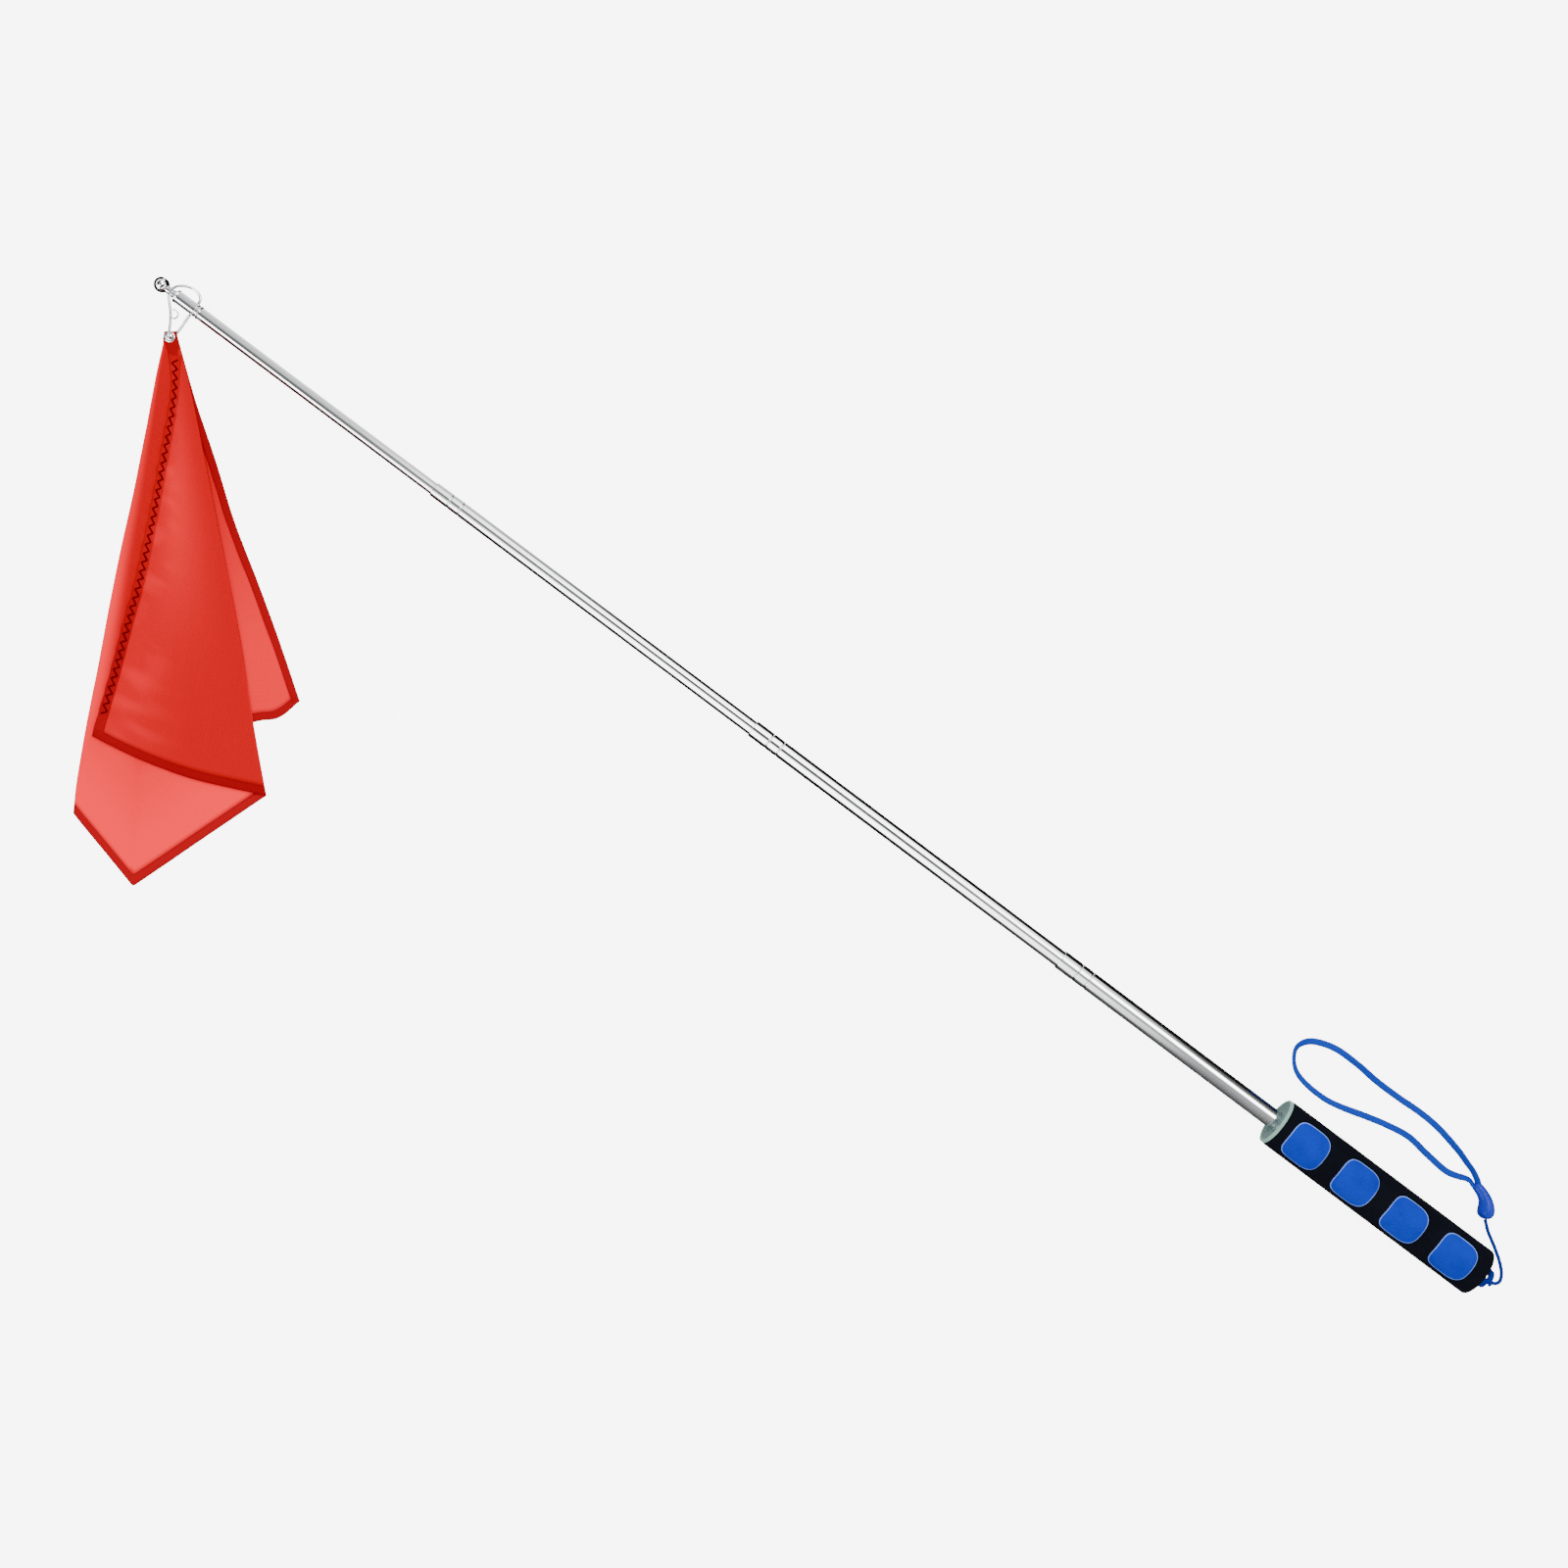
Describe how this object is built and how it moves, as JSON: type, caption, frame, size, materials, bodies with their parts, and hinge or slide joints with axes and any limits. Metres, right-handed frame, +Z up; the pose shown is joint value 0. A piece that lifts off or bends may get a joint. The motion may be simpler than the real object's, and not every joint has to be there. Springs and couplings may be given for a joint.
{
  "type": "telescopic signal flag pole",
  "caption": "Hand-held telescopic signal flag pole with foam grip, wrist strap and a square cloth flag hung from a wire clip near its ball-ended tip.",
  "frame": {"origin": "on the floor under the middle of the object's outline, without the wrist lanyard", "axes": "+X along the pole from the butt to the tip, +Y towards the flag laid beside the pole, +Z up"},
  "size_m": [1.0159, 0.3631, 0.0329],
  "materials": {
    "black_foam": "matte",
    "blue_foam": "matte",
    "pale_teal_ring": "satin",
    "black_plastic": "satin",
    "blue_plastic": "satin",
    "blue_cord": "matte",
    "red_cloth": "satin",
    "polished_steel": "polished",
    "chrome": "polished",
    "brass": "satin"
  },
  "bodies": {
    "grip": {"grip_foam": "black_foam", "grip_pad_top_1": "blue_foam", "grip_pad_top_2": "blue_foam", "grip_pad_top_3": "blue_foam", "grip_pad_top_4": "blue_foam", "grip_pad_under_1": "blue_foam", "grip_pad_under_2": "blue_foam", "grip_pad_under_3": "blue_foam", "grip_pad_under_4": "blue_foam", "grip_front_ring": "pale_teal_ring", "section_1_tube": "polished_steel", "butt_plug": "black_plastic", "butt_cap": "chrome", "lanyard_link": "blue_cord", "strap_crimp": "blue_plastic", "wrist_strap": "blue_cord"},
    "sleeve_2": {"friction_sleeve_2": "brass"},
    "section_2": {"section_2_tube": "polished_steel"},
    "sleeve_3": {"friction_sleeve_3": "brass"},
    "section_3": {"section_3_tube": "polished_steel"},
    "sleeve_4": {"friction_sleeve_4": "brass"},
    "section_4": {"section_4_tube": "polished_steel", "tip_hub": "polished_steel", "finial_neck": "chrome", "finial_ball": "chrome"},
    "clip": {"clip_ring": "chrome"},
    "flag": {"flag_cloth": "red_cloth", "flag_eyelet": "chrome", "eyelet_washer": "chrome"}
  },
  "joints": [
    {"name": "section_2_slide", "type": "slide", "parent": "grip", "child": "sleeve_2", "axis": [-0.9999, 0, 0.0127], "range_m": [0, 0.2123]},
    {"name": "section_2_spin", "type": "hinge", "parent": "sleeve_2", "child": "section_2", "pos_m": [-0.2123, -0.1441, 0.01379], "axis": [0.9999, 0, -0.0127], "continuous": true},
    {"name": "section_3_slide", "type": "slide", "parent": "section_2", "child": "sleeve_3", "axis": [-0.9999, 0, 0.0127], "range_m": [0, 0.2218]},
    {"name": "section_3_spin", "type": "hinge", "parent": "sleeve_3", "child": "section_3", "pos_m": [0.01998, -0.1441, 0.01084], "axis": [0.9999, 0, -0.0127], "continuous": true},
    {"name": "section_4_slide", "type": "slide", "parent": "section_3", "child": "sleeve_4", "axis": [-0.9999, 0, 0.0127], "range_m": [0, 0.1702]},
    {"name": "section_4_spin", "type": "hinge", "parent": "sleeve_4", "child": "section_4", "pos_m": [0.26176, -0.1441, 0.00777], "axis": [0.9999, 0, -0.0127], "continuous": true},
    {"name": "clip_pivot", "type": "hinge", "parent": "section_4", "child": "clip", "pos_m": [0.47465, -0.1441, 0.00506], "axis": [0, -1, 0], "range_deg": [0, 120]},
    {"name": "flag_swing", "type": "hinge", "parent": "clip", "child": "flag", "pos_m": [0.47702, -0.1216, 0.0033], "axis": [0, 0, 1], "range_deg": [-110, 25]}
  ]
}
